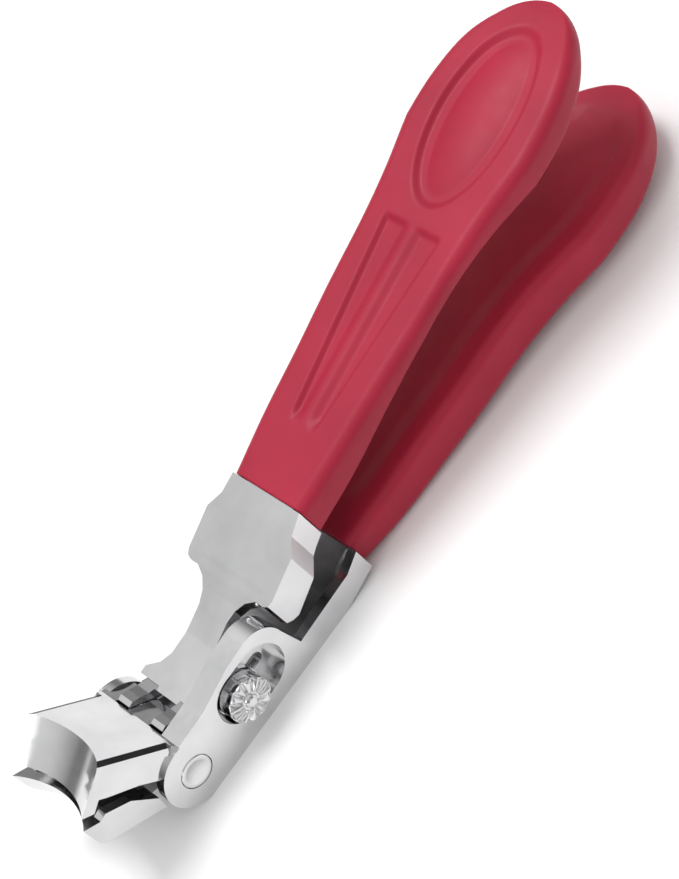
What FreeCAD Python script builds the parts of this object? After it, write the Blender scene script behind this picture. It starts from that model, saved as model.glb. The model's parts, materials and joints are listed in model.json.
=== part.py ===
import FreeCAD, Part
import math
import os
import Sketcher

# Plier-type nail clipper.  Row frame in mm: +X along the handles, head at -X, +Z up, the pivot axis
# runs along Y with the lock button on the -Y side.  The origin is the centre of the underside of the
# bounding box.  Profiles are drawn about the pivot axis and every body is placed at the pivot.

DIMS = {
    # where the pivot stands in the row frame
    "pivot_x": -44.075, "pivot_z": 5.0,
    # lower lever: folded channel
    "body_width": 16.8, "wall": 1.5, "disc_radius": 5.0, "floor_z": -5.0, "web_top_z": -3.5,
    "web_start_x": 6.0, "elbow_x": 27.0, "elbow_radius": 12.0, "metal_end_x": 33.3,
    "metal_end_low_z": -3.7, "metal_end_high_z": 0.3, "rail_x": 30.4, "rail_z": -0.95,
    "rail_front_x": 20.6, "rail_front_z": -1.3, "far_rail_x": 8.0, "far_rail_z": -2.1,
    "far_shoulder_x": 4.6, "far_shoulder_z": 0.0, "neck_x": 1.0, "neck_z": 5.25,
    # lower lever: upper jaw
    "jaw_width": 15.6, "plate_angle": -40.65, "fold_length": 11.0, "jaw_wall": 1.3, "jaw_top_x": -6.6,
    "jaw_top_z": 14.1, "jaw_rear_x": 4.3, "jaw_rear_z": 2.33, "jaw_rear_low_x": 3.4,
    "jaw_rear_low_z": 1.3, "jaw_side_front_x": -10.9, "jaw_side_front_z": 11.88,
    "jaw_side_mid_x": -8.9, "jaw_side_mid_z": 9.6, "jaw_side_low_x": -5.5, "jaw_side_low_z": 6.25,
    "jaw_side_rear_x": -3.7, "jaw_side_rear_z": 4.0, "jaw_inner_top_x": -9.6, "jaw_inner_top_z": 15.5,
    "jaw_inner_low_x": -0.06, "jaw_inner_low_z": 4.34, "edge_x": -12.8, "edge_z": 10.9,
    "bevel_angle": 62.7, "blade_radius": 14.25, "blade_sag": 2.32, "blade_thick": 1.5,
    "blade_half_width": 7.8, "blade_front": -0.5, "blade_height": 11.0, "notch_inner_y": 2.1,
    "notch_outer_y": 4.8,
    # lower lever: ear that carries the lock
    "ear_thick": 3.5, "ear_inner_y": 4.9, "ear_mid_x": 6.0, "ear_mid_z": 5.4, "ear_high_x": 12.0,
    "ear_high_z": 6.75, "ear_round_x": 15.7, "ear_round_z": 2.9, "ear_round_radius": 4.1,
    "ear_rear_x": 20.4, "race_x": 10.85, "race_z": 1.5, "race_radius": 4.0, "race_length": 3.35,
    "race_depth": 2.3, "guide_radius": 0.95, "guide_length": 4.5,
    # lower lever: handle core
    "core_half_width": 4.5, "core_thick": 1.4, "core_end_x": 74.0, "core_end_z": 0.3,
    "core_knee_x": 37.0, "core_knee_z": -2.6, "core_start_x": 29.0, "core_start_z": -4.55,
    # pivot rivet
    "rivet_radius": 1.5, "hub_bore_radius": 1.55, "rivet_head_radius": 2.35, "rivet_face_y": 8.4,
    "counterbore_radius": 2.4, "counterbore_depth": 0.75, "rivet_dome": 0.12,
    # upper lever
    "web_front_x": 20.75, "web_front_z": 6.9, "web_end_z": 10.8, "upper_wall_x": 30.7,
    "upper_wall_z": 5.05, "upper_wall_end_z": 5.48, "upper_wall_front_x": 22.8,
    "upper_wall_front_z": 1.9, "flange_low_z": 2.5, "bay_end_x": 27.0, "wing_end_x": 27.4,
    "wing_step_x": 29.6, "wing_round": 1.1, "wing_half_width": 8.4, "clear_y": 9.0,
    "wing_inner_y": 7.0, "wing_grip_y": 6.6, "tongue_half_width": 2.85, "tongue_thick": 1.45,
    "tongue_root_x": 22.3, "tongue_root_z": 7.43, "tongue_high_x": 19.0, "tongue_high_z": 6.26,
    "tongue_bend_x": 16.2, "tongue_bend_z": 5.34, "tongue_mid_x": 13.2, "tongue_mid_z": 4.42,
    "tongue_knee_x": 9.05, "tongue_knee_z": 3.5, "tongue_end_x": 5.75, "tongue_end_z": 3.35,
    "tongue_wide": 6.0, "bend_radius": 16.0, "near_flare_y": 4.6, "far_flare_y": 5.9, "upper_end_x": 32.4,
    "upper_core_start_x": 31.0, "upper_core_start_z": 8.3,
    "upper_core_knee_x": 52.0, "upper_core_knee_z": 12.0, "upper_core_end_x": 74.0,
    "upper_core_end_z": 16.4,
    # fork at the tongue's end
    "fork_half_width": 4.6, "fork_plate_rear_x": 9.1, "fork_plate_top_z": 1.85,
    "fork_plate_low_z": 0.75, "fork_bar_x": 5.1, "fork_bar_z": 3.2, "prong_inner_y": 2.25,
    "prong_width": 2.35, "prong_tip_x": 1.4, "prong_tip_z": 4.9,
    # lower jaw
    "low_jaw_width": 15.2, "low_tip_x": -13.85, "low_tip_z": 9.15, "low_blade_radius": 14.8,
    "low_blade_sag": 2.1, "low_front_x": -13.85, "low_front_z": 5.6, "low_toe_x": -13.5,
    "low_toe_z": 4.7, "low_heel_x": -5.6, "low_heel_z": -0.3, "low_rear_x": -5.3, "low_rear_z": 1.7,
    "low_side_x": -7.6, "low_side_z": 5.6, "low_side_front_x": -10.6, "low_side_front_z": 7.9,
    "low_wall": 1.4, "low_bay_half": 6.2, "low_bay_front_x": -10.3, "low_bay_front_z": 4.45,
    "low_bay_rear_x": -4.8, "low_bay_rear_z": 1.0, "hub_radius": 2.6, "hub_near_y": 4.2,
    "hub_length": 7.05, "tang_end_x": 9.1, "tang_low_z": -0.9, "tang_top_z": 0.7,
    # lock button, washer and pin
    "lock_x": 10.85, "lock_z": 1.0, "lock_radius": 3.2, "lock_face_y": -9.9, "lock_bevel": 0.4,
    "washer_radius": 3.3, "washer_face_y": -7.0, "washer_back_y": -6.15, "pin_radius": 0.85,
    "pin_end_y": -10.05, "pin_head_radius": 1.2, "pin_head_y": -4.75, "pin_back_y": -3.8,
    "petal_depth": 0.7, "petal_count": 12, "petal_inner": 1.3,
    # return spring
    "wire_radius": 0.42, "coil_radius": 2.6, "coil_near_y": 3.65, "coil_far_y": 6.0,
    "coil_turns": 2.5, "near_leg_x": 6.2, "near_leg_z": -1.1, "far_leg_x": 15.0, "far_leg_z": -3.02,
    # grips
    "grip_gap": 0.1,
}

# cross-sections of the two grips, front to rear: distance along X, how much further back the lower grip
# has it, half width, underside and top of the upper grip, underside and top of the lower, corner radius
GRIP_STATIONS = {
    "start": (32.55, 0.9, 6.85, 5.06, 10.98, -4.5, 0.3, 1.4),
    "heel": (41, 0, 7.65, 7.3, 12.72, -4.86, 1.3, 1.6),
    "waist": (49, 0, 8.1, 9.8, 14.24, -4.55, 2.2, 1.6),
    "middle": (57, 0, 8.7, 12.2, 15.76, -3.9, 3.0, 1.5),
    "palm": (65, 0, 9.0, 14.0, 17.28, -3.3, 3.7, 1.4),
    "flare": (73, 0, 9.8, 14.9, 18.8, -2.9, 4.1, 1.5),
    "paddle": (81, 0.2, 11.2, 15.4, 20.3, -2.8, 3.9, 1.6),
    "round": (88, 0.7, 10.5, 16.2, 21.4, -2.9, 3.4, 1.5),
    "nose": (94.6, 0.6, 8.2, 17.6, 22.1, -2.5, 2.8, 1.3),
    "toe": (99, 0.6, 4.8, 19.2, 22.0, -1.6, 2.2, 0.9),
    "end": (101.2, 0.8, 1.0, 20.5, 21.7, 0.1, 1.5, 0.45),
}
MEASURES = ("x", "shift", "half", "upper_low", "upper_top", "lower_low", "lower_top", "corner")
for station, sizes in GRIP_STATIONS.items():
    for measure, size in zip(MEASURES, sizes):
        DIMS[f"{station}_{measure}"] = size

SIDE = "XZ_Plane"
PLAN = "XY_Plane"

doc = FreeCAD.newDocument("nail_clipper")
sheet = doc.addObject("Spreadsheet::Sheet", "Dims")
for row, (alias, size) in enumerate(DIMS.items(), start=1):
    sheet.set(f"A{row}", alias)
    sheet.set(f"B{row}", str(size))
    sheet.setAlias(f"B{row}", alias)
doc.recompute()


def terms(sum_text):
    """A signed sum such as '-ear_inner_y + 0.5' as (sign, word) pairs."""
    words = str(sum_text).replace("-", " - ").replace("+", " + ").split()
    sign = 1
    for word in words:
        if word in "+-":
            sign = -1 if word == "-" else 1
        else:
            yield sign, word
            sign = 1


def number(sum_text):
    """The value of a signed sum of cell names and plain numbers."""
    return sum(sign * float(DIMS.get(word, word)) for sign, word in terms(sum_text))


def cells(sum_text):
    """The same sum as a spreadsheet expression."""
    parts = [("-" if sign < 0 else "+") + (f"Dims.{word}" if word in DIMS else word)
             for sign, word in terms(sum_text)]
    return " ".join(parts).lstrip("+")


def new_body(name, at_x="pivot_x", at_z="pivot_z"):
    body = doc.addObject("PartDesign::Body", name)
    body.Label = name
    body.setExpression("Placement.Base.x", cells(at_x))
    body.setExpression("Placement.Base.z", cells(at_z))
    return body


def new_sketch(body, name, role=SIDE, lift=None):
    """A sketch on an origin plane; lift moves it along the plane's normal."""
    plane = [f for f in body.Origin.OriginFeatures if f.Role == role][0]
    sketch = body.newObject("Sketcher::SketchObject", f"{body.Name}_{name}")
    sketch.AttachmentSupport = [(plane, "")]
    sketch.MapMode = "FlatFace"
    if lift is not None:
        sketch.setExpression("AttachmentOffset.Base.z", cells(lift))
    return sketch


def pin_point(sketch, geometry, end, x, y):
    """Fixes a point's two coordinates to the sheet."""
    for kind, place in (("DistanceX", x), ("DistanceY", y)):
        index = sketch.addConstraint(Sketcher.Constraint(kind, -1, 1, geometry, end, number(place)))
        sketch.setExpression(f"Constraints[{index}]", cells(place))


def polygon(sketch, points):
    """A closed outline of straight lines through points given as sums of cells."""
    first = sketch.GeometryCount
    corners = [FreeCAD.Vector(number(x), number(y), 0) for x, y in points]
    count = len(corners)
    for i in range(count):
        sketch.addGeometry(Part.LineSegment(corners[i], corners[(i + 1) % count]), False)
    for i in range(count):
        sketch.addConstraint(
            Sketcher.Constraint("Coincident", first + i, 2, first + (i + 1) % count, 1))
    for i, (x, y) in enumerate(points):
        pin_point(sketch, first + i, 1, x, y)
    return sketch


def circle(sketch, x, y, radius):
    centre = FreeCAD.Vector(number(x), number(y), 0)
    index = sketch.addGeometry(Part.Circle(centre, FreeCAD.Vector(0, 0, 1), number(radius)), False)
    pin_point(sketch, index, 3, x, y)
    rule = sketch.addConstraint(Sketcher.Constraint("Radius", index, number(radius)))
    sketch.setExpression(f"Constraints[{rule}]", cells(radius))
    return sketch


def stadium(sketch, x, y, length, radius):
    """A straight slot along the sketch's first axis, from (x, y)."""
    reach = number(radius)
    left = FreeCAD.Vector(number(x), number(y), 0)
    right = left + FreeCAD.Vector(number(length), 0, 0)
    up = FreeCAD.Vector(0, reach, 0)
    normal = FreeCAD.Vector(0, 0, 1)
    sketch.addGeometry(Part.ArcOfCircle(Part.Circle(left, normal, reach), math.pi / 2,
                                        3 * math.pi / 2), False)
    sketch.addGeometry(Part.LineSegment(left - up, right - up), False)
    sketch.addGeometry(Part.ArcOfCircle(Part.Circle(right, normal, reach), -math.pi / 2,
                                        math.pi / 2), False)
    sketch.addGeometry(Part.LineSegment(right + up, left + up), False)
    for a, a_end, b, b_end in ((0, 2, 1, 1), (1, 2, 2, 1), (2, 2, 3, 1), (3, 2, 0, 1)):
        sketch.addConstraint(Sketcher.Constraint("Tangent", a, a_end, b, b_end))
    pin_point(sketch, 0, 3, x, y)
    pin_point(sketch, 2, 3, f"{x} + {length}", y)
    rule = sketch.addConstraint(Sketcher.Constraint("Radius", 0, reach))
    sketch.setExpression(f"Constraints[{rule}]", cells(radius))
    return sketch


def extrude(kind, sketch, length=None, middle=False, back=False):
    """A pad or pocket of a sketch; without a length it goes all the way through."""
    body = sketch.getParentGeoFeatureGroup()
    feature = body.newObject(f"PartDesign::{kind}", f"{sketch.Name}_{kind.lower()}")
    feature.Profile = sketch
    if length is None:
        feature.Type = "ThroughAll"
    else:
        feature.setExpression("Length", cells(length))
    feature.Midplane = middle
    feature.Reversed = back
    sketch.Visibility = False
    doc.recompute()
    return feature


def both_sides(body, name, points, kind, half):
    """A pad or pocket of an XZ outline, as wide as half on each side of the middle plane."""
    return extrude(kind, polygon(new_sketch(body, name), points), f"{half} + {half}", middle=True)


def ease_edges(base, name, kind, size, chosen):
    """A Fillet or Chamfer on the edges of a feature whose middle point passes the test."""
    body = base.getParentGeoFeatureGroup()
    eased = body.newObject(f"PartDesign::{kind}", f"{body.Name}_{name}")
    edges = enumerate(base.Shape.Edges, start=1)
    eased.Base = (base, [f"Edge{i}" for i, edge in edges if chosen(edge.CenterOfMass)])
    eased.setExpression("Radius" if kind == "Fillet" else "Size", cells(size))
    doc.recompute()
    return eased


def revolve_about_y(body, name, points):
    """A turned piece: points are (radius, y)."""
    sketch = polygon(new_sketch(body, name, PLAN), points)
    feature = body.newObject("PartDesign::Revolution", f"{body.Name}_{name}_turned")
    feature.Profile = sketch
    feature.ReferenceAxis = (sketch, ["V_Axis"])
    feature.Angle = 360
    sketch.Visibility = False
    doc.recompute()
    return feature


# ---------------------------------------------------------------- lower lever with the upper jaw
lever = new_body("lower_lever")
channel = extrude("Pad", polygon(new_sketch(lever, "channel"), [
    ("0", "floor_z"), ("elbow_x", "floor_z"), ("metal_end_x", "metal_end_low_z"),
    ("metal_end_x", "metal_end_high_z"), ("rail_x", "rail_z"), ("rail_front_x", "rail_front_z"),
    ("far_rail_x", "far_rail_z"), ("far_shoulder_x", "far_shoulder_z"), ("neck_x", "neck_z"),
    ("0", "0")]), "body_width", middle=True)
ease_edges(channel, "elbow", "Fillet", "elbow_radius",
           lambda p: abs(p.x - DIMS["elbow_x"]) < 0.1 and abs(p.z - DIMS["floor_z"]) < 0.1)
extrude("Pad", circle(new_sketch(lever, "disc"), "0", "0", "disc_radius"), "body_width", middle=True)
extrude("Pocket", polygon(new_sketch(lever, "bay"), [
    ("-disc_radius - 2", "floor_z - 2"), ("web_start_x", "floor_z - 2"), ("web_start_x", "web_top_z"),
    ("elbow_x", "web_top_z"), ("metal_end_x + 1", "metal_end_low_z + 1.7"),
    ("metal_end_x + 1", "metal_end_high_z + 5"), ("neck_x", "neck_z + 5"),
    ("-disc_radius - 2", "neck_z + 5")]), "body_width - wall - wall", middle=True)
extrude("Pad", polygon(new_sketch(lever, "jaw"), [
    ("jaw_top_x", "jaw_top_z"), ("neck_x", "neck_z"), ("jaw_rear_x", "jaw_rear_z"),
    ("jaw_rear_low_x", "jaw_rear_low_z"), ("0", "0"), ("jaw_side_rear_x", "jaw_side_rear_z"),
    ("jaw_side_low_x", "jaw_side_low_z"), ("jaw_side_mid_x", "jaw_side_mid_z"),
    ("jaw_side_front_x", "jaw_side_front_z")]), "jaw_width", middle=True)
extrude("Pocket", polygon(new_sketch(lever, "jaw_bay"), [
    ("jaw_inner_top_x", "jaw_inner_top_z"), ("jaw_inner_low_x", "jaw_inner_low_z"),
    ("jaw_rear_low_x", "jaw_rear_low_z"), ("jaw_rear_low_x", "-1"), ("-9", "2"),
    ("edge_x - 3", "8"), ("edge_x - 3", "jaw_inner_top_z")]),
    "jaw_width - jaw_wall - jaw_wall", middle=True)


def tilted_sketch(body, name, corner, angle):
    """A sketch across the jaw at one of its corners, turned about Y."""
    sketch = new_sketch(body, name, PLAN)
    sketch.AttachmentOffset = FreeCAD.Placement(
        FreeCAD.Vector(DIMS[f"{corner}_x"], 0, DIMS[f"{corner}_z"]),
        FreeCAD.Rotation(FreeCAD.Vector(0, 1, 0), DIMS[angle]))
    sketch.setExpression("AttachmentOffset.Base.x", cells(f"{corner}_x"))
    sketch.setExpression("AttachmentOffset.Base.z", cells(f"{corner}_z"))
    sketch.setExpression("AttachmentOffset.Rotation.Angle", cells(angle))
    return sketch


def blade_section(sketch, half, radius, centre, front):
    """A D-shaped section: straight front and sides, round back of the given radius."""
    reach = number(radius)
    middle = number(centre)
    side = number(half)
    edge = middle + math.sqrt(reach ** 2 - side ** 2)
    start = number(front)
    swing = math.asin(side / reach)
    low = FreeCAD.Vector(start, -side, 0)
    high = FreeCAD.Vector(start, side, 0)
    sketch.addGeometry(Part.ArcOfCircle(
        Part.Circle(FreeCAD.Vector(middle, 0, 0), FreeCAD.Vector(0, 0, 1), reach), -swing, swing), False)
    sketch.addGeometry(Part.LineSegment(FreeCAD.Vector(edge, side, 0), high), False)
    sketch.addGeometry(Part.LineSegment(high, low), False)
    sketch.addGeometry(Part.LineSegment(low, FreeCAD.Vector(edge, -side, 0)), False)
    for a, a_end, b, b_end in ((0, 2, 1, 1), (1, 2, 2, 1), (2, 2, 3, 1), (3, 2, 0, 1)):
        sketch.addConstraint(Sketcher.Constraint("Coincident", a, a_end, b, b_end))
    sketch.addConstraint(Sketcher.Constraint("Horizontal", 1))
    sketch.addConstraint(Sketcher.Constraint("Horizontal", 3))
    pin_point(sketch, 0, 3, centre, "0")
    pin_point(sketch, 2, 1, front, half)
    pin_point(sketch, 2, 2, front, f"-{half}")
    rule = sketch.addConstraint(Sketcher.Constraint("Radius", 0, reach))
    sketch.setExpression(f"Constraints[{rule}]", cells(radius))
    return sketch


BLADE_CENTRE = "blade_sag - blade_radius"
blade_sketch = tilted_sketch(lever, "blade", "edge", "bevel_angle")
extrude("Pad", blade_section(blade_sketch, "blade_half_width", "blade_radius + blade_thick",
                             BLADE_CENTRE, "blade_front"), "blade_height")
extrude("Pocket", polygon(new_sketch(lever, "above_jaw"), [
    ("jaw_top_x", "jaw_top_z"), ("neck_x", "neck_z"), ("neck_x + 8", "neck_z + 8"),
    ("jaw_top_x + 6", "jaw_top_z + 8"), ("jaw_top_x - 3", "jaw_top_z + 3.5")]), middle=True)
extrude("Pocket", polygon(new_sketch(lever, "under_blade"), [
    ("edge_x", "edge_z"), ("edge_x + 6.5", "edge_z - 5.56"), ("edge_x + 3", "edge_z - 9"),
    ("edge_x - 3", "edge_z - 3")]), middle=True)
hollow_sketch = tilted_sketch(lever, "hollow", "edge", "bevel_angle")
extrude("Pocket", circle(hollow_sketch, BLADE_CENTRE, "0", "blade_radius"), middle=True)
for side, sign in (("near", "-"), ("far", "")):
    extrude("Pocket", polygon(tilted_sketch(lever, f"{side}_fold", "jaw_top", "plate_angle"), [
        ("0.4", f"{sign}8.2"), ("0.4", f"{sign}6.6"), ("0", f"{sign}6.6"), ("-0.35", f"{sign}7.45"),
        ("-1.2", f"{sign}7.8"), ("-1.2", f"{sign}8.2")]), "fold_length")
for side, near, far in (("near", "-notch_outer_y", "-notch_inner_y"),
                        ("far", "notch_inner_y", "notch_outer_y")):
    extrude("Pocket", polygon(new_sketch(lever, f"{side}_notch", PLAN), [
        ("neck_x", near), ("neck_x + 4", near), ("neck_x + 4", far), ("neck_x", far)]), middle=True)
extrude("Pad", polygon(new_sketch(lever, "ear", lift="ear_inner_y"), [
    ("0", "0"), ("neck_x", "neck_z"), ("ear_mid_x", "ear_mid_z"), ("ear_high_x", "ear_high_z"),
    ("ear_round_x", "ear_round_z + ear_round_radius"), ("ear_round_x + ear_round_radius", "ear_round_z"),
    ("ear_rear_x", "rail_front_z"), ("ear_rear_x", "rail_front_z - 2"), ("0", "rail_front_z - 2")]),
    "ear_thick")
extrude("Pad", circle(new_sketch(lever, "ear_end", lift="ear_inner_y"), "ear_round_x",
                      "ear_round_z", "ear_round_radius"), "ear_thick")
extrude("Pocket", stadium(new_sketch(lever, "race", lift="ear_inner_y + ear_thick"), "race_x", "race_z",
                          "race_length", "race_radius"), "race_depth")
extrude("Pocket", stadium(new_sketch(lever, "guide", lift="ear_inner_y + ear_thick"), "lock_x", "lock_z",
                          "guide_length", "guide_radius"), "ear_thick + 1")
extrude("Pocket", circle(new_sketch(lever, "bore"), "0", "0", "rivet_radius"), middle=True)
extrude("Pocket", circle(new_sketch(lever, "near_counterbore", lift="ear_inner_y + ear_thick"),
                         "0", "0", "counterbore_radius"), "counterbore_depth")
extrude("Pocket", circle(new_sketch(lever, "far_counterbore", lift="-ear_inner_y - ear_thick"),
                         "0", "0", "counterbore_radius"), "counterbore_depth", back=True)
both_sides(lever, "core", [
    ("core_start_x", "core_start_z"), ("metal_end_x", "metal_end_low_z"), ("core_knee_x", "core_knee_z"),
    ("core_end_x", "core_end_z"), ("core_end_x", "core_end_z + core_thick"),
    ("core_knee_x", "core_knee_z + core_thick"), ("core_start_x", "core_start_z + core_thick")],
    "Pad", "core_half_width")


# ---------------------------------------------------------------- upper lever with its tongue
handle = new_body("upper_lever")
tongue = both_sides(handle, "tongue", [
    ("tongue_root_x", "tongue_root_z"), ("tongue_high_x", "tongue_high_z"),
    ("tongue_bend_x", "tongue_bend_z"), ("tongue_mid_x", "tongue_mid_z"),
    ("tongue_knee_x", "tongue_knee_z"), ("tongue_end_x", "tongue_end_z"),
    ("tongue_end_x", "tongue_end_z - tongue_thick"), ("tongue_knee_x", "tongue_knee_z - tongue_thick"),
    ("tongue_mid_x + 0.4", "tongue_mid_z - tongue_thick"),
    ("tongue_bend_x + 0.4", "tongue_bend_z - tongue_thick"),
    ("tongue_root_x", "tongue_root_z - tongue_thick")], "Pad", "tongue_wide")
ease_edges(tongue, "bends", "Fillet", "bend_radius",
           lambda p: abs(p.y) < 0.01 and DIMS["tongue_end_x"] + 1 < p.x < DIMS["tongue_bend_x"] - 1)
# the tongue is narrow between its root and a flare at the front, which is wider on the far side
flare_points = {
    "near": [("tongue_end_x + 3.4", "-tongue_half_width"), ("tongue_end_x + 2", "-tongue_half_width - 0.5"),
             ("tongue_end_x + 1", "-near_flare_y"), ("tongue_end_x - 1", "-near_flare_y"),
             ("tongue_end_x - 1", "-clear_y")],
    "far": [("tongue_end_x + 7.2", "tongue_half_width"), ("tongue_end_x + 4.2", "tongue_half_width + 0.5"),
            ("tongue_end_x + 2.5", "tongue_half_width + 1.4"), ("tongue_end_x + 1.2", "far_flare_y"),
            ("tongue_end_x + 1.2", "clear_y")],
}
for side, sign in (("near", "-"), ("far", "")):
    extrude("Pocket", polygon(new_sketch(handle, f"{side}_root", PLAN), [
        ("web_front_x", f"{sign}clear_y"), ("web_front_x", f"{sign}5.8"),
        ("web_front_x - 0.9", f"{sign}4.3"), ("web_front_x - 2.3", f"{sign}3.3"),
        ("web_front_x - 4", f"{sign}tongue_half_width")] + flare_points[side]), middle=True)
both_sides(handle, "web", [
    ("web_front_x", "web_front_z"), ("upper_end_x", "web_end_z"), ("upper_end_x", "upper_wall_end_z"),
    ("upper_wall_x", "upper_wall_z"), ("upper_wall_front_x", "upper_wall_front_z"),
    ("web_front_x", "flange_low_z")], "Pad", "wall + wing_inner_y - 0.1")
both_sides(handle, "bay", [
    ("web_front_x + wall", "web_front_z - 1.05"), ("bay_end_x", "web_end_z - 3.7"),
    ("bay_end_x", "0"), ("web_front_x + wall", "0")], "Pocket", "wing_inner_y - 0.1")
for side, sign in (("near", "-"), ("far", "")):
    extrude("Pocket", polygon(new_sketch(handle, f"{side}_waist", PLAN), [
        ("wing_end_x", f"{sign}clear_y"), ("wing_end_x", f"{sign}wing_half_width"),
        ("wing_step_x", f"{sign}wing_inner_y"),
        ("upper_end_x", f"{sign}wing_grip_y"), ("upper_end_x + 1", f"{sign}clear_y")]), middle=True)
    extrude("Pocket", polygon(new_sketch(handle, f"{side}_corner", PLAN), [
        ("web_front_x - 1", f"{sign}clear_y"), ("web_front_x + wing_round", f"{sign}clear_y"),
        ("web_front_x + wing_round", f"{sign}wing_half_width"), ("web_front_x + 0.32", f"{sign}8.08"),
        ("web_front_x", f"{sign}7.3"), ("web_front_x - 1", f"{sign}7.3")]), middle=True)
both_sides(handle, "core", [
    ("upper_core_start_x", "upper_core_start_z"), ("upper_core_knee_x", "upper_core_knee_z"),
    ("upper_core_end_x", "upper_core_end_z"), ("upper_core_end_x", "upper_core_end_z + core_thick"),
    ("upper_core_knee_x", "upper_core_knee_z + core_thick"),
    ("upper_core_start_x", "upper_core_start_z + core_thick")], "Pad", "core_half_width")

# ---------------------------------------------------------------- fork welded under the tongue
fork = new_body("jaw_fork")
both_sides(fork, "plate", [
    ("fork_bar_x", "fork_plate_low_z"), ("fork_plate_rear_x", "fork_plate_low_z"),
    ("fork_plate_rear_x", "fork_plate_top_z"), ("tongue_end_x", "fork_plate_top_z"),
    ("tongue_end_x", "fork_bar_z"), ("fork_bar_x", "fork_bar_z")], "Pad", "fork_half_width")
for side, lift in (("near", "prong_inner_y"), ("far", "-prong_inner_y - prong_width")):
    extrude("Pad", polygon(new_sketch(fork, f"{side}_prong", lift=lift), [
        ("tongue_end_x", "fork_bar_z"), ("tongue_end_x - 1.5", "fork_bar_z + 0.7"),
        ("tongue_end_x - 2.6", "fork_bar_z + 1.5"), ("tongue_end_x - 3.6", "fork_bar_z + 2.1"),
        ("prong_tip_x", "prong_tip_z + 0.3"), ("prong_tip_x", "prong_tip_z - 0.3"),
        ("prong_tip_x + 0.8", "prong_tip_z - 0.6"), ("prong_tip_x + 1.5", "prong_tip_z - 1.1"),
        ("tongue_end_x - 2", "fork_bar_z - 0.3"), ("fork_bar_x", "fork_bar_z - 0.9")]), "prong_width")

# ---------------------------------------------------------------- lower jaw on its hub
jaw = new_body("lower_jaw")
extrude("Pad", polygon(new_sketch(jaw, "shell"), [
    ("low_front_x", "low_front_z"), ("low_toe_x", "low_toe_z"), ("low_heel_x", "low_heel_z"),
    ("low_rear_x", "low_rear_z"), ("low_side_x", "low_side_z"), ("low_side_front_x", "low_side_front_z"),
    ("low_side_front_x - 1.1", "low_side_front_z - 0.17"), ("low_tip_x", "low_tip_z")]),
    "low_jaw_width", middle=True)
extrude("Pocket", polygon(new_sketch(jaw, "bay"), [
    ("low_bay_front_x", "low_bay_front_z"), ("low_bay_rear_x", "low_bay_rear_z"),
    ("low_bay_rear_x", "low_tip_z + 2"), ("low_bay_front_x", "low_tip_z + 2")]),
    "low_jaw_width - low_wall - low_wall", middle=True)
extrude("Pocket", circle(new_sketch(jaw, "hollow", PLAN), "low_tip_x + low_blade_sag - low_blade_radius",
                         "0", "low_blade_radius"), middle=True)
both_sides(jaw, "blade_top", [
    ("low_tip_x - 1", "low_tip_z + 0.66"), ("low_tip_x - 1", "low_tip_z + 3"),
    ("low_bay_rear_x", "low_tip_z + 3"),
    ("low_tip_x + 8", "low_tip_z - 5.285")], "Pocket", "low_bay_half")
hub_pieces = {
    "arm": [("low_heel_x", "low_heel_z"), ("low_heel_x - 0.5", "low_heel_z + 2.2"),
            ("0", "hub_radius - 0.2"), ("0", "0.2 - hub_radius")],
    "tang": [("0", "tang_low_z"), ("tang_end_x", "tang_low_z"), ("tang_end_x", "tang_top_z"),
             ("0", "tang_top_z")],
}
for piece, outline in hub_pieces.items():
    extrude("Pad", polygon(new_sketch(jaw, piece, lift="hub_near_y"), outline), "hub_length", back=True)
extrude("Pad", circle(new_sketch(jaw, "hub", lift="hub_near_y"), "0", "0", "hub_radius"), "hub_length",
        back=True)
extrude("Pocket", circle(new_sketch(jaw, "bore"), "0", "0", "hub_bore_radius"), middle=True)

# ---------------------------------------------------------------- pivot rivet
rivet = new_body("pivot_rivet")
revolve_about_y(rivet, "section", [
    ("0", "-rivet_face_y - rivet_dome"),
    ("rivet_head_radius - 0.7", "-rivet_face_y - rivet_dome"),
    ("rivet_head_radius", "0.1 - rivet_face_y"),
    ("rivet_head_radius", "counterbore_depth - rivet_face_y"),
    ("rivet_radius", "counterbore_depth - rivet_face_y"),
    ("rivet_radius", "rivet_face_y - counterbore_depth"),
    ("rivet_head_radius", "rivet_face_y - counterbore_depth"),
    ("rivet_head_radius", "rivet_face_y - 0.1"),
    ("rivet_head_radius - 0.7", "rivet_face_y + rivet_dome"),
    ("0", "rivet_face_y + rivet_dome")])

# ---------------------------------------------------------------- return spring
spring = new_body("return_spring")
coil_sketch = circle(new_sketch(spring, "wire", "YZ_Plane"), "coil_near_y", "coil_radius",
                     "wire_radius")
coil = spring.newObject("PartDesign::AdditiveHelix", "return_spring_coil")
coil.Profile = coil_sketch
coil.ReferenceAxis = (coil_sketch, ["H_Axis"])
coil.Mode = 1
coil.setExpression("Pitch", "(Dims.coil_far_y - Dims.coil_near_y) / Dims.coil_turns")
coil.setExpression("Turns", "Dims.coil_turns")
coil.LeftHanded = True
coil_sketch.Visibility = False
doc.recompute()
for leg, leg_y, height in (("near_leg", "coil_near_y", "coil_radius"),
                           ("far_leg", "coil_far_y", "-coil_radius")):
    section = circle(new_sketch(spring, f"{leg}_wire", "YZ_Plane"), leg_y, height, "wire_radius")
    path = new_sketch(spring, f"{leg}_path", lift=f"-{leg_y}")
    path.addGeometry(Part.LineSegment(FreeCAD.Vector(0, number(height), 0),
                                      FreeCAD.Vector(number(f"{leg}_x"), number(f"{leg}_z"), 0)), False)
    pin_point(path, 0, 1, "0", height)
    pin_point(path, 0, 2, f"{leg}_x", f"{leg}_z")
    pipe = spring.newObject("PartDesign::AdditivePipe", f"return_spring_{leg}")
    pipe.Profile = section
    pipe.Spine = (path, ["Edge1"])
    section.Visibility = False
    path.Visibility = False
    doc.recompute()


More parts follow.
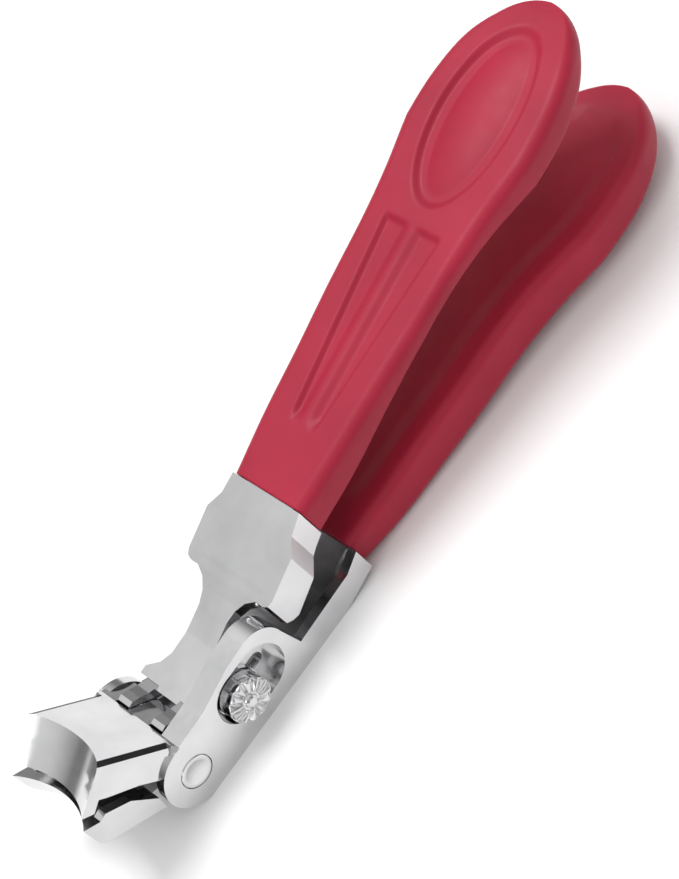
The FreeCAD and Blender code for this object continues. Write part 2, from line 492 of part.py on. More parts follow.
# ---------------------------------------------------------------- lock button, washer and pin
def lock_body(name):
    return new_body(name, "pivot_x + lock_x", "pivot_z + lock_z")


pin = lock_body("lock_pin")
revolve_about_y(pin, "section", [
    ("0", "pin_end_y"), ("pin_radius - 0.25", "pin_end_y"), ("pin_radius", "pin_end_y + 0.2"),
    ("pin_radius", "pin_head_y"), ("pin_head_radius", "pin_head_y"),
    ("pin_head_radius", "pin_back_y - 0.2"),
    ("pin_head_radius - 0.2", "pin_back_y"), ("0", "pin_back_y")])
washer = lock_body("lock_washer")
revolve_about_y(washer, "section", [
    ("pin_radius", "washer_face_y"), ("washer_radius", "washer_face_y"),
    ("washer_radius", "washer_back_y"), ("pin_radius", "washer_back_y")])
knob = lock_body("lock_knob")
revolve_about_y(knob, "section", [
    ("pin_radius", "lock_face_y"), ("lock_radius - lock_bevel", "lock_face_y"),
    ("lock_radius", "lock_face_y + lock_bevel"), ("lock_radius", "washer_face_y"),
    ("pin_radius", "washer_face_y")])
groove = polygon(new_sketch(knob, "groove", lift="-lock_face_y"), [
    ("petal_inner", "-0.12"), ("lock_radius + 0.3", "-0.36"), ("lock_radius + 0.3", "0.36"),
    ("petal_inner", "0.12")])
petal = extrude("Pocket", groove, "petal_depth")
petals = knob.newObject("PartDesign::PolarPattern", "lock_knob_petals")
petals.Originals = [petal]
petals.Axis = (groove, ["N_Axis"])
petals.Angle = 360
petals.setExpression("Occurrences", "Dims.petal_count")
knob.Tip = petals
doc.recompute()


# ---------------------------------------------------------------- silicone grips
def grip_section(body, station, which):
    """A rounded rectangle across the handle at one station."""
    shift = f" + {station}_shift" if which == "lower" else ""
    sketch = new_sketch(body, station, "YZ_Plane", lift=f"{station}_x{shift}")
    half, low, top = f"{station}_half", f"{station}_{which}_low", f"{station}_{which}_top"
    corner = f"{station}_corner"
    normal = FreeCAD.Vector(0, 0, 1)
    reach = number(corner)
    centres = [(f"{half} - {corner}", f"{low} + {corner}"), (f"{half} - {corner}", f"{top} - {corner}"),
               (f"{corner} - {half}", f"{top} - {corner}"), (f"{corner} - {half}", f"{low} + {corner}")]
    for i, (x, y) in enumerate(centres):
        centre = FreeCAD.Vector(number(x), number(y), 0)
        start = (i - 1) * math.pi / 2
        sketch.addGeometry(Part.ArcOfCircle(Part.Circle(centre, normal, reach), start,
                                            start + math.pi / 2), False)
    for i in range(4):
        here = sketch.Geometry[i].EndPoint
        there = sketch.Geometry[(i + 1) % 4].StartPoint
        sketch.addGeometry(Part.LineSegment(here, there), False)
    for i in range(4):
        sketch.addConstraint(Sketcher.Constraint("Tangent", i, 2, 4 + i, 1))
        sketch.addConstraint(Sketcher.Constraint("Tangent", 4 + i, 2, (i + 1) % 4, 1))
    for i, (x, y) in enumerate(centres):
        if i in (0, 2):
            pin_point(sketch, i, 3, x, y)
    sketch.addConstraint(Sketcher.Constraint("Vertical", 4))
    sketch.addConstraint(Sketcher.Constraint("Horizontal", 5))
    sketch.addConstraint(Sketcher.Constraint("Vertical", 6))
    sketch.addConstraint(Sketcher.Constraint("Horizontal", 7))
    rule = sketch.addConstraint(Sketcher.Constraint("Radius", 0, reach))
    sketch.setExpression(f"Constraints[{rule}]", cells(corner))
    sketch.Visibility = False
    return sketch


def grip_body(name, which, hollow):
    body = new_body(name)
    sections = [grip_section(body, station, which) for station in GRIP_STATIONS]
    loft = body.newObject("PartDesign::AdditiveLoft", f"{name}_loft")
    loft.Profile = sections[0]
    loft.Sections = sections[1:]
    loft.Ruled = False
    doc.recompute()
    both_sides(body, "hollow", hollow, "Pocket", "core_half_width + grip_gap")
    return body


grip_body("upper_grip", "upper", [
    ("upper_core_start_x", "upper_core_start_z - grip_gap"),
    ("upper_core_knee_x", "upper_core_knee_z - grip_gap"),
    ("upper_core_end_x + grip_gap", "upper_core_end_z - grip_gap"),
    ("upper_core_end_x + grip_gap", "upper_core_end_z + core_thick + grip_gap"),
    ("upper_core_knee_x", "upper_core_knee_z + core_thick + grip_gap"),
    ("upper_core_start_x", "upper_core_start_z + core_thick + grip_gap")])
grip_body("lower_grip", "lower", [
    ("metal_end_x - 1", "metal_end_low_z - 0.6"), ("core_knee_x", "core_knee_z - grip_gap"),
    ("core_end_x + grip_gap", "core_end_z - grip_gap"),
    ("core_end_x + grip_gap", "core_end_z + core_thick + grip_gap"),
    ("core_knee_x", "core_knee_z + core_thick + grip_gap"),
    ("metal_end_x - 1", "metal_end_low_z + core_thick + grip_gap")])

# ---------------------------------------------------------------- check and write
doc.recompute()
for obj in doc.Objects:
    if "Invalid" in obj.State or "Error" in obj.State:
        raise RuntimeError(f"{obj.Name} did not build: {obj.State}")
os.makedirs("parts", exist_ok=True)
for body in doc.findObjects("PartDesign::Body"):
    shape = body.Shape
    if shape.isNull() or not shape.isValid() or len(shape.Solids) != 1:
        raise RuntimeError(f"{body.Label} is not one valid solid")
    shape.exportStep(f"parts/{body.Label}.step")
    box = shape.BoundBox
    print(f"{body.Label}: {shape.Volume:.1f} mm3, x {box.XMin:.2f}..{box.XMax:.2f}, "
          f"y {box.YMin:.2f}..{box.YMax:.2f}, z {box.ZMin:.2f}..{box.ZMax:.2f}")
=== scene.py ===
import json
import math

import bmesh
import bpy
from mathutils import Matrix, Vector

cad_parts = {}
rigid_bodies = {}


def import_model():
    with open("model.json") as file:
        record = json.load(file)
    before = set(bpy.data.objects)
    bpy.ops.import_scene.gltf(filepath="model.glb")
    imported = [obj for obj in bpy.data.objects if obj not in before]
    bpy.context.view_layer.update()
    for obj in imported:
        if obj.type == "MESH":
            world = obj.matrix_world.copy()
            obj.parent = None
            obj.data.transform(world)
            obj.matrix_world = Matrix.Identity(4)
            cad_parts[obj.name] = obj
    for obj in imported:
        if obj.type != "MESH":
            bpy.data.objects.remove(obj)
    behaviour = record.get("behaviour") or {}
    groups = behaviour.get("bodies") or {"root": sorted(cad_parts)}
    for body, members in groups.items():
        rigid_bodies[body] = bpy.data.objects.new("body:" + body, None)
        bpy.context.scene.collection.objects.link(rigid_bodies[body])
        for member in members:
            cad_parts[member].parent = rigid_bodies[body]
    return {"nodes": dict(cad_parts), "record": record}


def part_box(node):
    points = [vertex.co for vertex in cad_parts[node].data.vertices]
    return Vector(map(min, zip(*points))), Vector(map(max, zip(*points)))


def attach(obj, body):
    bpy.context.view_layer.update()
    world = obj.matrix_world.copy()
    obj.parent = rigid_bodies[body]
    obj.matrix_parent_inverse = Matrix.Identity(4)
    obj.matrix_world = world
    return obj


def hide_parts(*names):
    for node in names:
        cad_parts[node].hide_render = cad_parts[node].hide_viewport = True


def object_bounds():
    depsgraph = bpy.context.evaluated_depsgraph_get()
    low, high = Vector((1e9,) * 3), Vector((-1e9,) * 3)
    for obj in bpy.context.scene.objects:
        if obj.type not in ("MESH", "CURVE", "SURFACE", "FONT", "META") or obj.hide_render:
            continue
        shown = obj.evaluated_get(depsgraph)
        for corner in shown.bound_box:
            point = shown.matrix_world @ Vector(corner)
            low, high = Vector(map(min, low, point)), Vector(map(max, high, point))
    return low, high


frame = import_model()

MM = 0.001
START_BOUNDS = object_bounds()

joints = {joint["name"]: joint for joint in frame["record"]["behaviour"]["joints"]}
PIVOT = Vector(joints["lever_pivot"]["pos_m"])
LOWER = joints["lever_pivot"]["parent"]
UPPER = joints["lever_pivot"]["child"]
LOCK = joints["lock_slide"]["child"]


def place(x, y, z):
    """Millimetres from the pivot axis to metres in the row frame."""
    return PIVOT + Vector((x, y, z)) * MM


def smoothstep(low, high, value):
    t = min(1.0, max(0.0, (value - low) / (high - low)))
    return t * t * (3 - 2 * t)


def mix(a, b, t):
    return a + (b - a) * t


# ------------------------------------------------------------------ materials
# noise scales per metre, from broad changes of tone to the finest marks, whose depth is in metres
SILICONE_TONE, STEEL_TONE, HAZE, POLISH, MARKS, SKIN = 70.0, 160.0, 240.0, 900.0, 2600.0, 4200.0
NOISE_LOW, NOISE_HIGH = 0.3, 0.7
MARK_DEPTH = 0.00004
SHARP_EDGE = math.radians(32)


def new_material(name):
    material = bpy.data.materials.new(name)
    material.use_nodes = True
    tree = material.node_tree
    shader = tree.nodes["Principled BSDF"]
    return material, tree, shader


def object_noise(tree, scale, detail=3.0, stretch=(1, 1, 1)):
    """Noise in object coordinates, scale per metre."""
    coords = tree.nodes.new("ShaderNodeTexCoord")
    mapping = tree.nodes.new("ShaderNodeMapping")
    mapping.inputs["Scale"].default_value = stretch
    noise = tree.nodes.new("ShaderNodeTexNoise")
    noise.inputs["Scale"].default_value = scale
    noise.inputs["Detail"].default_value = detail
    tree.links.new(coords.outputs["Object"], mapping.inputs["Vector"])
    tree.links.new(mapping.outputs["Vector"], noise.inputs["Vector"])
    return noise


def ranged(tree, source, low, high):
    """A noise value, mostly between NOISE_LOW and NOISE_HIGH, mapped to low..high."""
    node = tree.nodes.new("ShaderNodeMapRange")
    node.inputs["From Min"].default_value = NOISE_LOW
    node.inputs["From Max"].default_value = NOISE_HIGH
    node.inputs["To Min"].default_value = low
    node.inputs["To Max"].default_value = high
    tree.links.new(source, node.inputs["Value"])
    return node.outputs["Result"]


def add_bump(tree, shader, source, strength):
    """Very fine surface marks."""
    bump = tree.nodes.new("ShaderNodeBump")
    bump.inputs["Strength"].default_value = strength
    bump.inputs["Distance"].default_value = MARK_DEPTH
    tree.links.new(source, bump.inputs["Height"])
    tree.links.new(bump.outputs["Normal"], shader.inputs["Normal"])


def tinted(tree, shader, source, dark, light):
    """Base colour that drifts between two tones."""
    ramp = tree.nodes.new("ShaderNodeValToRGB")
    ramp.color_ramp.elements[0].position = NOISE_LOW
    ramp.color_ramp.elements[0].color = (*dark, 1)
    ramp.color_ramp.elements[1].position = NOISE_HIGH
    ramp.color_ramp.elements[1].color = (*light, 1)
    tree.links.new(source, ramp.inputs["Fac"])
    tree.links.new(ramp.outputs["Color"], shader.inputs["Base Color"])


def steel(name, dark, light, rough_low, rough_high, grain=(1, 1, 1), bump=0.03):
    """Steel: a faint tone change, uneven polish and fine rubbing marks."""
    material, tree, shader = new_material(name)
    shader.inputs["Metallic"].default_value = 1.0
    tone = object_noise(tree, STEEL_TONE, detail=2.0)
    tinted(tree, shader, tone.outputs["Fac"], dark, light)
    polish = object_noise(tree, POLISH, detail=4.0, stretch=grain)
    tree.links.new(ranged(tree, polish.outputs["Fac"], rough_low, rough_high),
                   shader.inputs["Roughness"])
    marks = object_noise(tree, MARKS, detail=5.0, stretch=grain)
    add_bump(tree, shader, marks.outputs["Fac"], bump)
    return material


def silicone(name, dark, light):
    """Matte moulded silicone with a very fine skin texture."""
    material, tree, shader = new_material(name)
    tone = object_noise(tree, SILICONE_TONE)
    tinted(tree, shader, tone.outputs["Fac"], dark, light)
    skin = object_noise(tree, SKIN, detail=4.0)
    haze = object_noise(tree, HAZE)
    tree.links.new(ranged(tree, haze.outputs["Fac"], 0.44, 0.54), shader.inputs["Roughness"])
    add_bump(tree, shader, skin.outputs["Fac"], 0.12)
    shader.inputs["Specular IOR Level"].default_value = 0.28
    shader.inputs["Sheen Weight"].default_value = 0.04
    shader.inputs["Sheen Roughness"].default_value = 0.45
    shader.inputs["Subsurface Weight"].default_value = 0.06
    shader.inputs["Subsurface Scale"].default_value = 0.002
    return material


STEEL = steel("polished_steel", (0.62, 0.62, 0.63), (0.71, 0.71, 0.715), 0.10, 0.17)
BLADE = steel("ground_steel", (0.58, 0.58, 0.59), (0.70, 0.70, 0.70), 0.12, 0.22, (1, 6, 1), 0.05)
TURNED = steel("turned_steel", (0.62, 0.62, 0.63), (0.76, 0.76, 0.76), 0.14, 0.24, (5, 1, 5), 0.05)
WIRE = steel("spring_wire", (0.34, 0.34, 0.35), (0.50, 0.50, 0.51), 0.22, 0.34, (1, 4, 1), 0.06)
# painted shade: the inside steel is much darker than the polished steel to stand in for shade in the
# hollows, and it is also rougher
ROUGH_SHADED_INSIDE = steel("unpolished_steel_painted_shade", (0.17, 0.17, 0.175), (0.25, 0.25, 0.255), 0.34, 0.50, (1, 1, 1), 0.1)
# painted shade: a near-black steel colour for the band at the jaw's fold, standing in for the dark line
# of shade and reflection there
FOLD_SHADE = steel("painted_fold_shade", (0.030, 0.030, 0.031), (0.055, 0.055, 0.056), 0.38, 0.50)
SILICONE = silicone("red_silicone", (0.33, 0.011, 0.034), (0.40, 0.015, 0.044))


def dress(obj, material):
    obj.data.materials.clear()
    obj.data.materials.append(material)


def soften(obj, width):
    """Small rounded edges with clean shading, wherever faces meet at a sharp edge."""
    bevel = obj.modifiers.new("edges", "BEVEL")
    bevel.width = width * MM
    bevel.segments = 3
    bevel.limit_method = "ANGLE"
    bevel.angle_limit = SHARP_EDGE
    bevel.harden_normals = True
    bevel.use_clamp_overlap = True


def new_object(name, bm, material, body):
    """A smooth-shaded piece that rides on a body and fills a material slot."""
    mesh = bpy.data.meshes.new(name)
    bm.normal_update()
    bm.to_mesh(mesh)
    bm.free()
    for face in mesh.polygons:
        face.use_smooth = True
    obj = bpy.data.objects.new(name, mesh)
    bpy.context.scene.collection.objects.link(obj)
    dress(obj, material)
    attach(obj, body)
    return obj


# ------------------------------------------------------------------ grips
def spline(points, x):
    """A smooth curve through (x, value) points that doesn't overshoot."""
    if x <= points[0][0]:
        return points[0][1]
    if x >= points[-1][0]:
        return points[-1][1]
    slopes = [(b[1] - a[1]) / (b[0] - a[0]) for a, b in zip(points, points[1:])]
    i = max(k for k in range(len(slopes)) if points[k][0] <= x)

    def tangent(k):
        if k == 0 or k == len(points) - 1:
            return slopes[0] if k == 0 else slopes[-1]
        if slopes[k - 1] * slopes[k] <= 0:
            return 0.0
        return 2 * slopes[k - 1] * slopes[k] / (slopes[k - 1] + slopes[k])

    (x0, v0), (x1, v1) = points[i], points[i + 1]
    span = x1 - x0
    t = (x - x0) / span
    return ((2 * t ** 3 - 3 * t ** 2 + 1) * v0 + (t ** 3 - 2 * t ** 2 + t) * span * tangent(i)
            + (3 * t ** 2 - 2 * t ** 3) * v1 + (t ** 3 - t ** 2) * span * tangent(i + 1))


# stations along X, half widths up to the widest one, and the Z of both faces, all in millimetres
# from the pivot
STATIONS = (32.55, 41, 49, 57, 65, 73, 81, 88, 94.6, 99, 101.15)
HALF = (6.85, 7.65, 8.1, 8.7, 9.0, 9.8, 11.2)
WIDEST_X = 81.0
SHAPES = {
    "upper": {"low": (5.06, 7.3, 9.8, 12.2, 14.0, 14.9, 15.4, 16.2, 17.6, 19.2, 20.5),
              "top": (10.98, 12.72, 14.24, 15.76, 17.28, 18.8, 20.3, 21.4, 22.1, 22.0, 21.7)},
    "lower": {"low": (-4.5, -4.86, -4.55, -3.9, -3.3, -2.9, -2.8, -2.9, -2.5, -1.6, 0.1),
              "top": (0.3, 1.3, 2.2, 3.0, 3.7, 4.1, 3.9, 3.4, 2.8, 2.2, 1.5)},
}
FRONT_X = {"upper": 32.55, "lower": 33.45}
EXTRA_LENGTH = {"upper": 0.0, "lower": 0.8}
NOSE_POWER, NOSE_GAP = 2.5, 0.02
# corner radius of the section, with its limits as shares of the thickness and of the half width
CORNER, CORNER_OF_THICK, CORNER_OF_HALF = 1.75, 0.48, 0.95
# the oval finger pad with its raised lens, and the two flutes in front of it
PAD_X, PAD_LONG, PAD_WIDE, PAD_DEPTH, PAD_EDGE = 84.3, 13.0, 6.9, 0.75, 0.13
LENS_LONG, LENS_WIDE, LENS_RISE, LENS_POWER = 10.7, 4.6, 0.85, 2.2
FLUTE_FRONT, FLUTE_REAR, FLUTE_DEPTH = 42.0, 69.3, 0.6
FLUTE_FRONT_HALF, FLUTE_REAR_HALF, FLUTE_WALL, RIB_INNER, RIB_OUTER = 2.7, 5.5, 0.9, 0.2, 1.9
# the sunk field on the inner face: its rim, its depth, and how it begins and ends along X
RIM_WIDTH, FIELD_DEPTH, FIELD_SLOPE = 2.9, 0.5, 3.0
FIELD_START, FIELD_FULL, FIELD_END_GAP, FIELD_END_RUN = 37, 42, 3.2, 4.0


def stretch(x, which):
    """The lower grip is drawn out a little behind the widest part."""
    t = max(0.0, (x - WIDEST_X) / (STATIONS[-1] - WIDEST_X))
    return x + EXTRA_LENGTH[which] * t


def half_width(x):
    """Plan outline: widening to the paddle, then a round nose."""
    if x <= WIDEST_X:
        return spline(list(zip(STATIONS, HALF)), x)
    reach = (x - WIDEST_X) / (STATIONS[-1] - WIDEST_X)
    return HALF[-1] * max(0.0, 1 - reach ** NOSE_POWER) ** 0.5


def finger_relief(x, y):
    """How far the back of a grip is sunk at (x, y): oval pad and two flutes."""
    oval = math.hypot((x - PAD_X) / PAD_LONG, y / PAD_WIDE)
    sink = PAD_DEPTH * smoothstep(0.0, PAD_EDGE, 1 - oval)
    lens = math.hypot((x - PAD_X) / LENS_LONG, y / LENS_WIDE)
    if lens < 1:
        sink -= LENS_RISE * (1 - lens ** LENS_POWER)
    along = (x - FLUTE_FRONT) / (FLUTE_REAR - FLUTE_FRONT)
    if -0.1 < along < 1.1:
        outer = mix(FLUTE_FRONT_HALF, FLUTE_REAR_HALF, along)
        side = abs(y)
        wall = smoothstep(0.0, FLUTE_WALL, outer - side)
        rib = smoothstep(RIB_INNER, RIB_OUTER, side)
        ends = smoothstep(-0.03, 0.06, along) * smoothstep(0.0, 0.03, 1 - along)
        sink += FLUTE_DEPTH * wall * rib * ends
    return sink


def field_relief(x, y):
    """How far the inner face of a grip is sunk at (x, y), inside its rim."""
    inside = half_width(x) - RIM_WIDTH - abs(y)
    ends = (smoothstep(FIELD_START, FIELD_FULL, x)
            * smoothstep(0, FIELD_END_RUN, STATIONS[-1] - FIELD_END_GAP - x))
    return FIELD_DEPTH * smoothstep(0.0, FIELD_SLOPE, inside) * ends


def grip(name, which, body, node):
    """A silicone sleeve: rounded section swept along the handle, relief on both broad faces."""
    low_points = list(zip(STATIONS, SHAPES[which]["low"]))
    top_points = list(zip(STATIONS, SHAPES[which]["top"]))
    outer_is_top = which == "upper"
    steps, across, arc, nose_share = 300, 96, 12, 0.1
    bm = bmesh.new()
    rings = []
    for i in range(steps + 1):
        t = i / steps
        # the last rings stand ever closer together, because the nose is round
        closing = max(0.0, (t - (1 - nose_share)) / nose_share)
        along = t - nose_share * closing + nose_share * (1 - (1 - closing) ** 2)
        x = mix(FRONT_X[which], STATIONS[-1] - NOSE_GAP, along)
        low, top, half = spline(low_points, x), spline(top_points, x), half_width(x)
        thick = top - low
        corner = min(CORNER_OF_THICK * thick, CORNER, CORNER_OF_HALF * half)
        flat = half - corner
        section = []
        for k in range(across + 1):
            y = mix(flat, -flat, k / across)
            section.append((y, top, 1.0))
        for k in range(1, 2 * arc):
            angle = math.pi / 2 + math.pi * k / (2 * arc)
            middle = top - corner if angle < math.pi else low + corner
            section.append((-flat + corner * math.cos(angle), middle + corner * math.sin(angle), 0.0))
        for k in range(across + 1):
            y = mix(-flat, flat, k / across)
            section.append((y, low, -1.0))
        for k in range(1, 2 * arc):
            angle = -math.pi / 2 + math.pi * k / (2 * arc)
            middle = low + corner if angle < 0 else top - corner
            section.append((flat + corner * math.cos(angle), middle + corner * math.sin(angle), 0.0))
        ring = []
        for y, z, face in section:
            if face:
                back = (face > 0) == outer_is_top
                z -= face * (finger_relief(x, y) if back else field_relief(x, y))
            ring.append(bm.verts.new(place(stretch(x, which), y, z)))
        rings.append(ring)
    count = len(rings[0])
    for a, b in zip(rings, rings[1:]):
        for k in range(count):
            n = (k + 1) % count
            bm.faces.new((a[k], b[k], b[n], a[n]))
    bm.faces.new(rings[0])
    bm.faces.new(list(reversed(rings[-1])))
    bmesh.ops.recalc_face_normals(bm, faces=bm.faces)
    obj = new_object(name, bm, SILICONE, body)
    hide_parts(node)


grip("upper_grip_sleeve", "upper", UPPER, "upper_grip")
grip("lower_grip_sleeve", "lower", LOWER, "lower_grip")

# ------------------------------------------------------------------ metal pieces
# outward directions of the upper jaw's plate, of its ground front and of the upper lever's web,
# and a point on the plate's top edge
PLATE_OUT = Vector((0.759, 0, 0.651))
PLATE_TOP = Vector((-6.6, 0, 14.1))
BEVEL_OUT = Vector((-0.459, 0, 0.889))
HANDLE_OUT = Vector((-0.32, 0, 0.947))
# limits in Y: just past the inner faces of the levers' walls and of the lower jaw's sides, and just
# short of the ear's inner face
WALL_INNER_Y, JAW_INNER_Y, EAR_INNER_Y = 6.95, 6.25, -4.8
# limits in Z and X: above the underside, behind the neck, behind the blade, and round both hollows
UNDERSIDE_Z, NECK_X, BLADE_X = -4.6, 1.3, -9
WEB_HOLLOW_FRONT, WEB_HOLLOW_REAR, JAW_HOLLOW_FRONT = 21.9, 29.4, -10.5
# material slots: polished steel, rougher steel with painted shade for the inside, and painted dark
# shade for the fold
POLISHED, ROUGH_AND_SHADED, SHADED_FOLD = range(3)


def inside_lower_lever(c, n):
    """Faces inside the folded channel and the hollow jaw, which get painted shade; c is a face's centre
    and n its normal.
    """
    on_underside = n.z < -0.9 and c.z < UNDERSIDE_Z
    if abs(c.y) > WALL_INNER_Y or c.y < EAR_INNER_Y or on_underside:
        return False
    on_plate = n.dot(PLATE_OUT) > 0.95 and (c - PLATE_TOP).dot(PLATE_OUT) > -0.3
    if on_plate:
        return False
    if c.x < NECK_X:
        on_blade = c.x < BLADE_X and n.x < -0.2
        return n.dot(PLATE_OUT) < 0.5 and n.dot(BEVEL_OUT) < 0.3 and not on_blade
    return True


def jaw_fold(c, n):
    """The narrow eased band between the jaw's plate and its sides, which gets a painted dark shade."""
    return c.x < 0.5 and c.z > 4 and 0.3 < abs(n.y) < 0.6 and n.dot(PLATE_OUT) > 0.8


def inside_upper_lever(c, n):
    """Faces of the hollow under the upper lever's web, which get painted shade."""
    in_hollow = abs(c.y) < WALL_INNER_Y and WEB_HOLLOW_FRONT < c.x < WEB_HOLLOW_REAR
    return in_hollow and n.dot(HANDLE_OUT) < 0.6


def inside_lower_jaw(c, n):
    """Faces between the lower jaw's sides that don't look down, which get painted shade."""
    return abs(c.y) < JAW_INNER_Y and c.x > JAW_HOLLOW_FRONT and n.z > -0.5


def polish(node, material, edge, inside=None, fold=None):
    """Finish of a CAD piece: rounded edges, smooth curves, a rougher inside with painted shade in its
    colour, and a painted dark shade on the fold.
    """
    obj = frame["nodes"][node]
    dress(obj, material)
    obj.data.materials.append(ROUGH_SHADED_INSIDE)
    obj.data.materials.append(FOLD_SHADE)
    for face in obj.data.polygons:
        face.use_smooth = True
        centre = (face.center - PIVOT) / MM
        # fold faces get the painted dark shade, inside faces the rougher steel with painted shade
        if fold and fold(centre, face.normal):
            face.material_index = SHADED_FOLD
        else:
            face.material_index = ROUGH_AND_SHADED if inside and inside(centre, face.normal) else POLISHED
    soften(obj, edge)


polish("lower_lever", STEEL, 0.3, inside_lower_lever, jaw_fold)
polish("upper_lever", STEEL, 0.7, inside_upper_lever)
polish("jaw_fork", STEEL, 0.15)
polish("lower_jaw", BLADE, 0.2, inside_lower_jaw)
polish("lock_washer", STEEL, 0.08)
polish("lock_pin", TURNED, 0.06)
for face in frame["nodes"]["return_spring"].data.polygons:
    face.use_smooth = True
dress(frame["nodes"]["return_spring"], WIRE)

# points round a turned piece, and steps of its rounded corners
AROUND, CORNER_STEPS = 192, 6


def turned(name, centre, profile, material, body, node, relief=None):
    """A piece turned about Y: profile is (radius, y), relief(radius, angle, y) is added to y."""
    bm = bmesh.new()
    rings = []
    for radius, y in profile:
        if radius < 0.001:
            rings.append([bm.verts.new(place(centre[0], y, centre[1]))])
            continue
        ring = []
        for k in range(AROUND):
            angle = 2 * math.pi * k / AROUND
            shift = relief(radius, angle, y) if relief else 0.0
            ring.append(bm.verts.new(place(centre[0] + radius * math.cos(angle), y + shift,
                                           centre[1] + radius * math.sin(angle))))
        rings.append(ring)
    for a, b in zip(rings, rings[1:]):
        for k in range(AROUND):
            n = (k + 1) % AROUND
            corners = [a[k % len(a)], b[k % len(b)], b[n % len(b)], a[n % len(a)]]
            distinct = list(dict.fromkeys(corners))
            if len(distinct) > 2:
                bm.faces.new(distinct)
    bmesh.ops.recalc_face_normals(bm, faces=bm.faces)
    obj = new_object(name, bm, material, body)
    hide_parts(node)


def round_corner(radius, y, corner, side):
    """Points of a rounded outer corner from the face at y to the rim."""
    points = []
    for i in range(CORNER_STEPS + 1):
        angle = math.pi / 2 * i / CORNER_STEPS
        points.append((radius - corner + corner * math.sin(angle),
                       y - side * corner * (1 - math.cos(angle))))
    return points


HEAD_Y, SEAT_Y, HEAD_R, SHANK_R = 8.5, 7.65, 2.32, 1.5
DISH_R, DISH_DEPTH, DISH_STEPS, RIM_CORNER = 1.75, 0.34, 12, 0.22


def rivet_head(side):
    """A rivet head with a shallow dish inside a raised rim; side is -1 or 1."""
    dish = [(DISH_R * k / DISH_STEPS, side * (HEAD_Y - DISH_DEPTH * (1 - (k / DISH_STEPS) ** 2)))
            for k in range(DISH_STEPS + 1)]
    rim = round_corner(HEAD_R, side * HEAD_Y, RIM_CORNER, side)
    return dish + rim + [(HEAD_R, side * SEAT_Y), (SHANK_R, side * SEAT_Y)]


turned("pivot_rivet_turned", (0, 0), rivet_head(-1) + list(reversed(rivet_head(1))), TURNED,
       LOWER, "pivot_rivet")

knob_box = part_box("lock_knob")
KNOB_X = ((knob_box[0][0] + knob_box[1][0]) / 2 - PIVOT.x) / MM
KNOB_Z = ((knob_box[0][2] + knob_box[1][2]) / 2 - PIVOT.z) / MM
KNOB_FACE, KNOB_BACK, KNOB_R, KNOB_HOLE = -9.88, -7.0, 3.18, 0.86
KNOB_CORNER, FACE_STEPS = 0.3, 26
# the petals: how many, their depth and sharpness, the radii over which they begin, and the radius
# and share of their run-out at the rim
PETALS, PETAL_DEPTH, PETAL_POWER, PETAL_START, PETAL_FULL = 12, 0.62, 0.55, 1.2, 1.6
RUN_OUT_R, RUN_OUT, SWELL, SWELL_WIDTH = 2.85, 0.6, 0.12, 1.9
GROOVE_DEPTH, GROOVE_INNER, GROOVE_OUTER = 0.3, (0.9, 1.0), (1.15, 1.45)


def petal_relief(radius, angle, y):
    """Rounded petals with valleys between them, fullest half-way out, and a groove round the hole."""
    if y > KNOB_FACE + 0.5:
        return 0.0
    petal = (0.5 + 0.5 * math.cos(PETALS * angle)) ** PETAL_POWER
    reach = (smoothstep(PETAL_START, PETAL_FULL, radius)
             * (1 - RUN_OUT * smoothstep(RUN_OUT_R, KNOB_R, radius)))
    groove = (GROOVE_DEPTH * smoothstep(*GROOVE_INNER, radius)
              * (1 - smoothstep(*GROOVE_OUTER, radius)))
    outward = min(1.0, max(0.0, (radius - PETAL_START) / SWELL_WIDTH))
    swell = SWELL * (1 - math.sin(math.pi * outward))
    return PETAL_DEPTH * (1 - petal) * reach + groove + swell


face_points = [(KNOB_HOLE + (KNOB_R - KNOB_CORNER - KNOB_HOLE) * k / FACE_STEPS, KNOB_FACE)
               for k in range(FACE_STEPS + 1)]
knob_profile = face_points + round_corner(KNOB_R, KNOB_FACE, KNOB_CORNER, -1) + [
    (KNOB_R, KNOB_FACE + 0.6), (KNOB_R, KNOB_BACK - 0.45), (KNOB_R - 0.25, KNOB_BACK - 0.4),
    (KNOB_R - 0.25, KNOB_BACK), (KNOB_HOLE, KNOB_BACK)]
turned("lock_knob_turned", (KNOB_X, KNOB_Z), knob_profile, TURNED, LOCK, "lock_knob",
       petal_relief)

# ------------------------------------------------------------------ floor, light and camera
# half the side of the floor, in metres
FLOOR_HALF = 4.0
floor_bm = bmesh.new()
bmesh.ops.create_grid(floor_bm, x_segments=1, y_segments=1, size=FLOOR_HALF)
floor_mesh = bpy.data.meshes.new("floor")
floor_bm.to_mesh(floor_mesh)
floor_bm.free()
floor = bpy.data.objects.new("floor", floor_mesh)
bpy.context.scene.collection.objects.link(floor)
floor.location.z = START_BOUNDS[0][2]
floor_material, _, floor_shader = new_material("floor_paper")
floor_shader.inputs["Base Color"].default_value = (0.9, 0.9, 0.9, 1)
floor_shader.inputs["Roughness"].default_value = 0.8
dress(floor, floor_material)


def soft_light(name, direction, distance, size, power):
    """A square soft box that faces the origin of the row frame, from a distance in metres."""
    light = bpy.data.lights.new(name, "AREA")
    light.shape = "SQUARE"
    light.size = size
    light.energy = power
    lamp = bpy.data.objects.new(name, light)
    bpy.context.scene.collection.objects.link(lamp)
    ray = Vector(direction).normalized()
    lamp.location = ray * distance
    lamp.rotation_euler = ray.to_track_quat("Z", "Y").to_euler()


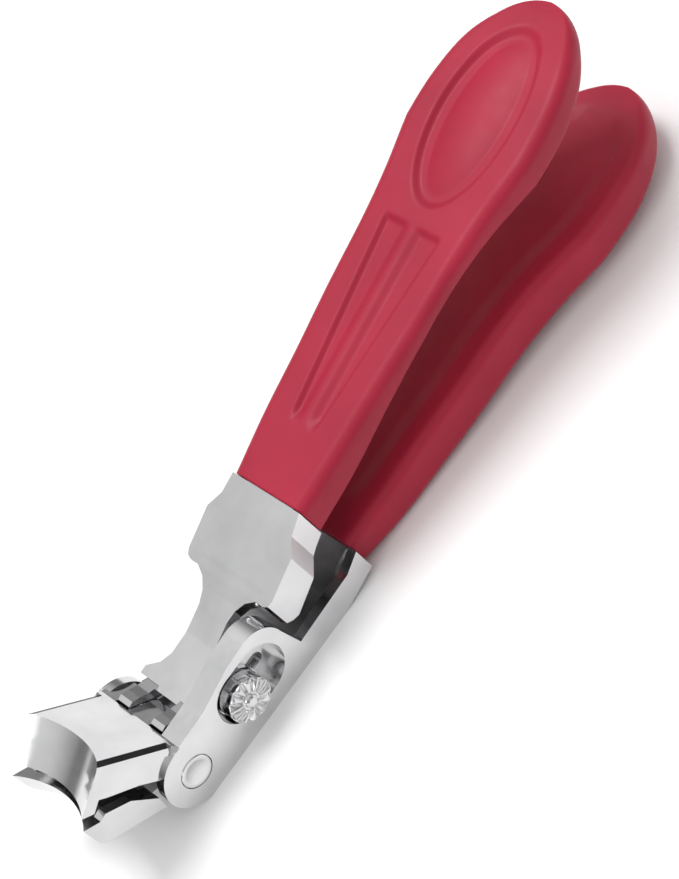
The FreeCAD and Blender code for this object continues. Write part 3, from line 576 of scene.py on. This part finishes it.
soft_light("key", (0.15, 0.40, 1.30), 0.9, 0.42, 5.0)
soft_light("fill", (-1.0, -0.25, 0.55), 0.9, 0.40, 1.6)

# brightness of the surroundings at the horizon (height 0) and overhead (height 1), and
# (height, brightness) between them
HORIZON, OVERHEAD = 0.80, 0.75
BETWEEN = ((0.10, 0.26), (0.28, 0.24), (0.50, 0.58), (0.66, 0.86))
world = bpy.data.worlds.new("studio")
bpy.context.scene.world = world
world.use_nodes = True
tree = world.node_tree
background = tree.nodes["Background"]
coords = tree.nodes.new("ShaderNodeTexCoord")
split = tree.nodes.new("ShaderNodeSeparateXYZ")
ramp = tree.nodes.new("ShaderNodeValToRGB")
tree.links.new(coords.outputs["Generated"], split.inputs["Vector"])
tree.links.new(split.outputs["Z"], ramp.inputs["Fac"])
tree.links.new(ramp.outputs["Color"], background.inputs["Color"])
ramp.color_ramp.elements[0].position = 0.0
ramp.color_ramp.elements[0].color = (HORIZON, HORIZON, HORIZON, 1)
ramp.color_ramp.elements[1].position = 1.0
ramp.color_ramp.elements[1].color = (OVERHEAD, OVERHEAD, OVERHEAD, 1)
for position, level in BETWEEN:
    element = ramp.color_ramp.elements.new(position)
    element.color = (level, level, level, 1)
background.inputs["Strength"].default_value = 1.0

camera_data = bpy.data.cameras.new("camera")
camera = bpy.data.objects.new("camera", camera_data)
bpy.context.scene.collection.objects.link(camera)
# the camera's right and up directions, and its place in metres from the pivot
right = Vector((0.5905, -0.6311, -0.5031))
up = Vector((0.7999, 0.3750, 0.4685))
back = right.cross(up)
EYE_X, EYE_Y, EYE_Z = -0.00041, -0.27847, 0.30359
camera.matrix_world = Matrix((
    (right.x, up.x, back.x, PIVOT.x + EYE_X),
    (right.y, up.y, back.y, PIVOT.y + EYE_Y),
    (right.z, up.z, back.z, PIVOT.z + EYE_Z),
    (0, 0, 0, 1)))
camera_data.lens = 135.15
camera_data.sensor_fit = "VERTICAL"
camera_data.sensor_height = 36
camera_data.clip_start = 0.01
bpy.context.scene.camera = camera
bpy.context.scene.view_settings.view_transform = "Standard"
